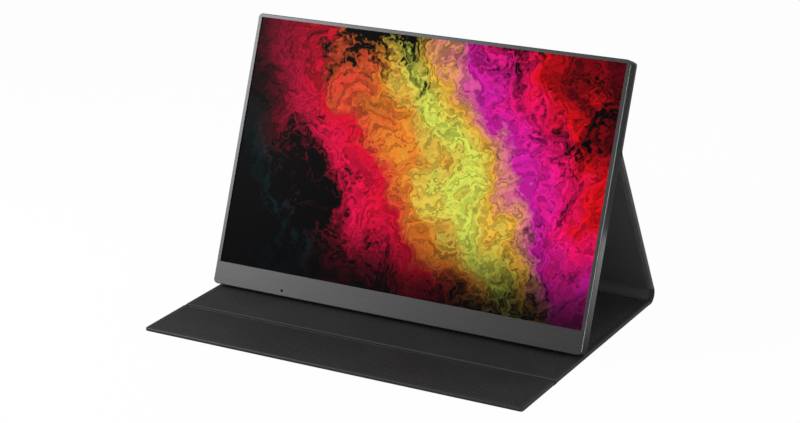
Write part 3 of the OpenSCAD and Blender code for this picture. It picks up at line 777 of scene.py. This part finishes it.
# Leg: the stiff panel that props the monitor from behind, from the top crease to the spine.
# Its lining and its turned hems face the monitor, and show from the side.
leg_lean = math.radians(27.3212)
leg_length = 0.157
leg_strip = 0.08
leg_down = Vector((0, math.sin(leg_lean), -math.cos(leg_lean)))
leg_inside = Vector((0, -math.cos(leg_lean), -math.sin(leg_lean)))
leg_place = panel_place(crease_place + crease_half * leg_down, leg_down, leg_inside)
leg_cover = cover_panel("leg_cover", leg_length, False, leg_strip, leg_place, hem_painted_highlight)
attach(leg_cover, "leg")
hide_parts("leg_skin")
leg_inside_cloth = panel_lining(
    "leg_inside", leg_length, False, leg_strip, leg_place, lining_leather_painted_light,
)
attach(leg_inside_cloth, "leg")
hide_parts("leg_lining")


# Top crease: the two leathers glued face to face, with no board, so that the leg can swing.
# It bends in a small round from the upper panel to the leg.
sheet_depth = 0.0015
crease_overlap = 0.0004
crease_reach = crease_half + crease_overlap
crease_inset = 0.0003
bend_steps = 12
crease_start = crease_place + crease_reach * lean_up - sheet_depth / 2 * lean_back
crease_end = crease_place + crease_reach * leg_down + sheet_depth / 2 * leg_inside
crease_peak = crease_place - sheet_depth / 2 * lean_back


def first_edge(mesh, middle, width):
    """Starts a sheet with one edge across the cover."""
    ends = [mesh.verts.new(middle + Vector((side * width / 2, 0, 0))) for side in (-1, 1)]
    return mesh.edges.new(ends)


def grow_edge(mesh, edge, step):
    """Extrudes a sheet's last edge by one step, and gives back the new last edge."""
    grown = bmesh.ops.extrude_edge_only(mesh, edges=[edge])["geom"]
    last = next(g for g in grown if isinstance(g, bmesh.types.BMEdge))
    bmesh.ops.translate(mesh, vec=step, verts=list(last.verts))
    return last


mesh = bmesh.new()
edge = first_edge(mesh, crease_start, cover_width - 2 * crease_inset)
at = crease_start
for step in range(1, bend_steps + 1):
    t = step / bend_steps
    point = (1 - t) ** 2 * crease_start + 2 * t * (1 - t) * crease_peak + t * t * crease_end
    edge = grow_edge(mesh, edge, point - at)
    at = point
bmesh.ops.recalc_face_normals(mesh, faces=mesh.faces)
bmesh.ops.solidify(mesh, geom=list(mesh.faces), thickness=sheet_depth)
# The wall grows to one side only, so the sheet is moved back until its middle is in place.
sheet_centre = sum((v.co for v in mesh.verts), Vector()) / len(mesh.verts)
wanted = (crease_start + crease_end) / 4 + crease_peak / 2
moved = Vector((0, wanted.y - sheet_centre.y, wanted.z - sheet_centre.z))
bmesh.ops.translate(mesh, vec=moved, verts=mesh.verts)
lay_cloth(mesh, upper_strip, lambda co: Vector((co.x, -(co - crease_place).dot(lean_up), co.z)))
crease_sheet = make_piece("crease_sheet", mesh, outer_leather)
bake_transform(crease_sheet)
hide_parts("top_crease")


# Spine: the soft strip where the leg meets the table, the same two leathers with no board.
# It rolls up from the front panel in an even round and runs into the leg.
spine_axis = joint_places["foot_fold"]
spine_radius = 0.0084
spine_skin_depth = 0.0009
spine_lining_radius = 0.0075
spine_lining_depth = 0.0006
spine_inset = 0.0002
spine_tail = 0.0014
spine_steps = 20
spine_turn = math.radians(90) + leg_lean
spine_strip = 0.25
spine_edge_share = 0.3
spine_edge_turn = math.radians(60)
weld_distance = 1e-7
flat_height = 0.0001


def spine_sheet(name, radius, depth, width, material):
    """A sheet rolled about the spine's axis, with a short straight tail at each end."""
    mesh = bmesh.new()
    edge = first_edge(mesh, spine_axis + Vector((0, -spine_tail, -radius)), width)
    edge = grow_edge(mesh, edge, Vector((0, spine_tail, 0)))
    spun = bmesh.ops.spin(
        mesh, geom=[edge, *edge.verts], cent=spine_axis, axis=(1, 0, 0), dvec=(0, 0, 0),
        angle=spine_turn, steps=spine_steps,
        use_merge=False, use_normal_flip=False, use_duplicate=False,
    )["geom_last"]
    edge = next(g for g in spun if isinstance(g, bmesh.types.BMEdge))
    grow_edge(mesh, edge, -leg_down * spine_tail)
    bmesh.ops.remove_doubles(mesh, verts=mesh.verts, dist=weld_distance)
    sheet = list(mesh.faces)
    for face in sheet:
        face.normal_update()
        outwards = face.calc_center_median() - spine_axis
        if face.normal.dot(Vector((0, outwards.y, outwards.z))) < 0:
            face.normal_flip()
    bmesh.ops.solidify(mesh, geom=sheet, thickness=depth)
    long_edges = [
        e for e in mesh.edges
        if any(lies_at(e, 0, side * width / 2) for side in (-1, 1))
        and len(e.link_faces) == 2
        and e.calc_face_angle(0) > spine_edge_turn
    ]
    round_edges(mesh, long_edges, depth * spine_edge_share, 2)

    def unrolled(co):
        """Where a point of the rolled sheet lies when the sheet is laid flat."""
        along = co.y - spine_axis.y
        if co.z > flat_height or along > 0:
            along = radius * math.atan2(along, spine_axis.z - co.z)
        return Vector((co.x, along, co.z))

    lay_cloth(mesh, spine_strip, unrolled)
    return make_piece(name, mesh, material)


spine_outside = spine_sheet(
    "spine_outside", spine_radius, spine_skin_depth, cover_width - 2 * spine_inset, outer_leather,
)
spine_inside = spine_sheet(
    "spine_inside", spine_lining_radius, spine_lining_depth, cover_width - 2 * hem_width, lining_leather_painted_light,
)
for piece, node_name in ((spine_outside, "spine_skin"), (spine_inside, "spine_lining")):
    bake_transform(piece)
    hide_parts(node_name)


# Front panel: the part of the cover that lies under the monitor, with its inside up.
# It is a board between two leathers, and the monitor's lower edge rests on its lining.
groove_place = joint_places["flap_fold"]
groove_half = 0.0028
spine_gap = 0.001
base_strip = 0.0
base_length = spine_axis.y - spine_gap - groove_place.y - groove_half
base_place = panel_place(
    Vector((0, groove_place.y + groove_half, 0)), Vector((0, 1, 0)), Vector((0, 0, 1)),
)
base_cover = cover_panel(
    "front_panel_cover", base_length, False, base_strip, base_place, hem_leather,
)
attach(base_cover, "front_panel")
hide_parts("base_skin")
front_lining = panel_lining(
    "front_panel_lining", base_length, False, base_strip, base_place, inner_leather,
)
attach(front_lining, "front_panel")
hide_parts("base_lining")


# Flap: the last panel in front of the groove, a narrow board between the two leathers, with
# magnets near its free edge. It folds up in front of the screen's lower edge.
flap_reach = 0.059
flap_strip = 0.3
flap_length = flap_reach - groove_half
flap_place = panel_place(
    Vector((0, groove_place.y - groove_half, 0)), Vector((0, -1, 0)), Vector((0, 0, 1)),
)
flap_cover = cover_panel("flap_cover", flap_length, True, flap_strip, flap_place, hem_leather)
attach(flap_cover, "front_flap")
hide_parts("flap_skin")
flap_inside = panel_lining(
    "flap_inside", flap_length, True, flap_strip, flap_place, inner_leather,
)
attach(flap_inside, "front_flap")
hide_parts("flap_lining")


# Groove: the leathers pressed together between the two boards, so that the flap can turn.
# They are pressed smooth and sink a little, with a sharp furrow along the flap.
groove_depth = 0.0028
groove_inset = 0.0003
groove_overlap = 0.0008
groove_sink = 0.0003
groove_cuts = 23
groove_strip = 0.29
# The furrow's middle and half width, as shares of the groove's half width.
furrow_place = -0.75
furrow_width = 0.25
furrow_sink = 0.0006

grains_to_the_metre = 1100.0
groove_leather, tree = new_material("pressed_leather_groove")
flat = add(tree, "ShaderNodeUVMap", uv_map="cloth").outputs[0]
grain = add(tree, "ShaderNodeTexNoise", {
    "Vector": flat, "Scale": grains_to_the_metre, "Detail": 2.0,
})
along = add(tree, "ShaderNodeSeparateXYZ", {"Vector": flat}).outputs["Y"]
# The half along the flap is painted dark, as shade in the furrow, and the rest is painted light, as the
# highlight on the lit slope.
painted_shade_past_middle = 0.0001
painted_shade_edge = groove_place.y + groove_strip + painted_shade_past_middle
painted_shade_blur = 0.0003
groove_painted_light_share = add(tree, "ShaderNodeMapRange", {
    "Value": along, "From Min": painted_shade_edge - painted_shade_blur, "From Max": painted_shade_edge + painted_shade_blur,
})
painted_highlight_tone = add(tree, "ShaderNodeValToRGB", {"Fac": grain.outputs[0]}, stops=[
    (0.3, "#3d3d3e"), (0.7, "#48484a"),
])
tone_and_painted_light = add(tree, "ShaderNodeMix", {
    "Factor": groove_painted_light_share.outputs[0],
    "A": linear("#0d0d0e"),
    "B": painted_highlight_tone.outputs["Color"],
}, data_type="RGBA")
bump = add(tree, "ShaderNodeBump", {
    "Height": grain.outputs[0], "Strength": 0.2, "Distance": 0.0001,
})
pressed = add(tree, "ShaderNodeBsdfPrincipled", {
    "Base Color": tone_and_painted_light.outputs["Result"],
    "Roughness": 0.6,
    "Specular IOR Level": 0.3,
    "Normal": bump.outputs[0],
})
add(tree, "ShaderNodeOutputMaterial", {"Surface": pressed.outputs[0]})

mesh = slab(
    cover_width - 2 * groove_inset,
    2 * groove_half + 2 * groove_overlap,
    groove_depth,
    (0, groove_place.y, groove_depth / 2),
)
short_edges = [e for e in mesh.edges if not is_level(e, 1)]
bmesh.ops.subdivide_edges(mesh, edges=short_edges, cuts=groove_cuts, use_grid_fill=True)
for v in mesh.verts:
    if v.co.z > groove_depth / 2:
        t = (v.co.y - groove_place.y) / groove_half
        v.co.z -= groove_sink * max(0.0, 1 - t * t)
        v.co.z -= furrow_sink * max(0.0, 1 - ((t - furrow_place) / furrow_width) ** 2)
lay_cloth(mesh, groove_strip)
groove_sheet = make_piece("groove_sheet", mesh, groove_leather)
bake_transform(groove_sheet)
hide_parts("groove_crease")


# Table: a plain white studio sweep under the cover. It isn't part of the object.
# It shows as white, and keeps the soft shadow where the cover rests on it.
table_size = 6.0
white_share = 0.97
mottles_to_the_metre = 3.0
mesh = bmesh.new()
bmesh.ops.create_grid(mesh, x_segments=1, y_segments=1, size=table_size)
data = bpy.data.meshes.new("table_top")
mesh.to_mesh(data)
mesh.free()
table = bpy.data.objects.new("table_top", data)
bpy.context.scene.collection.objects.link(table)
table_paint, tree = new_material("white_studio_sweep")
place = add(tree, "ShaderNodeTexCoord").outputs["Object"]
mottle = add(tree, "ShaderNodeTexNoise", {
    "Vector": place, "Scale": mottles_to_the_metre, "Detail": 2.0,
})
tone = add(tree, "ShaderNodeValToRGB", {"Fac": mottle.outputs[0]}, stops=[
    (0.3, "#f4f4f4"), (0.7, "#f7f7f7"),
])
sweep = add(tree, "ShaderNodeBsdfPrincipled", {
    "Base Color": tone.outputs["Color"],
    "Roughness": 0.9,
    "Specular IOR Level": 0.0,
})
white = add(tree, "ShaderNodeEmission", {"Color": linear("#ffffff"), "Strength": 1.0})
rays = add(tree, "ShaderNodeLightPath")
share = add(tree, "ShaderNodeMath", {
    0: rays.outputs["Is Camera Ray"],
    1: white_share,
}, operation="MULTIPLY")
plain = add(tree, "ShaderNodeMixShader", {
    0: share.outputs[0],
    1: sweep.outputs[0],
    2: white.outputs[0],
})

# Polished sides mirror the sweep, and what they mirror is painted: dim near the object as a painted
# shadow, lighter away from it, then a painted dark band where a flag would stand behind it.
painted_band_near, painted_band_far = 0.250, 0.258
near_light, far_light, painted_band_light = 0.1, 0.92, 0.12
depth = add(tree, "ShaderNodeSeparateXYZ", {"Vector": place}).outputs["Y"]
rising = add(tree, "ShaderNodeMapRange", {
    "Value": depth,
    "From Min": 0.0,
    "From Max": painted_band_near,
    "To Min": near_light,
    "To Max": far_light,
})
light = add(tree, "ShaderNodeEmission", {
    "Color": linear("#ffffff"), "Strength": rising.outputs[0],
})
dark = add(tree, "ShaderNodeEmission", {"Color": linear("#ffffff"), "Strength": painted_band_light})
past = add(tree, "ShaderNodeMapRange", {
    "Value": depth, "From Min": painted_band_near, "From Max": painted_band_far,
})
painted_reflection = add(tree, "ShaderNodeMixShader", {
    0: past.outputs[0],
    1: light.outputs[0],
    2: dark.outputs[0],
})
surface = add(tree, "ShaderNodeMixShader", {
    0: rays.outputs["Is Glossy Ray"],
    1: plain.outputs[0],
    2: painted_reflection.outputs[0],
})
add(tree, "ShaderNodeOutputMaterial", {"Surface": surface.outputs[0]})
data.materials.append(table_paint)


# Studio light: a white room with a softbox at the front left, one high at the back and two
# small cards at the right. The left one makes the chin lighter at its left end.
room_light = 0.22
scene = bpy.context.scene
scene.view_settings.view_transform = "Standard"
world = bpy.data.worlds.new("white_room")
scene.world = world
world.use_nodes = True
tree = world.node_tree
tree.nodes.clear()
rays = add(tree, "ShaderNodeLightPath")
room = add(tree, "ShaderNodeBackground", {"Color": linear("#ffffff"), "Strength": room_light})
shown = add(tree, "ShaderNodeBackground", {"Color": linear("#ffffff"), "Strength": 1.0})
mixed = add(tree, "ShaderNodeMixShader", {
    0: rays.outputs["Is Camera Ray"],
    1: room.outputs[0],
    2: shown.outputs[0],
})
add(tree, "ShaderNodeOutputWorld", {"Surface": mixed.outputs[0]})


def lamp(name, place, target, size, watts):
    """A square lamp that points at the target."""
    data = bpy.data.lights.new(name, "AREA")
    data.shape = "SQUARE"
    data.size = size
    data.energy = watts
    made = bpy.data.objects.new(name, data)
    scene.collection.objects.link(made)
    aim = (Vector(target) - Vector(place)).to_track_quat("-Z", "Y").to_matrix().to_4x4()
    made.matrix_world = Matrix.Translation(place) @ aim


lamp("left_softbox", place=(-0.72, -0.52, 0.50), target=(-0.05, 0, 0.08), size=0.45, watts=8.0)
lamp("back_softbox", place=(0.4, 1.3, 1.4), target=(0.0, 0.05, 0.1), size=0.8, watts=4.5)
lamp("right_card", place=(0.95, 0.05, 0.16), target=(0.17, 0.05, 0.07), size=0.35, watts=3.6)
lamp("low_right_card", place=(1.0, -0.75, 0.12), target=(0.17, 0.05, 0.08), size=0.3, watts=4.0)
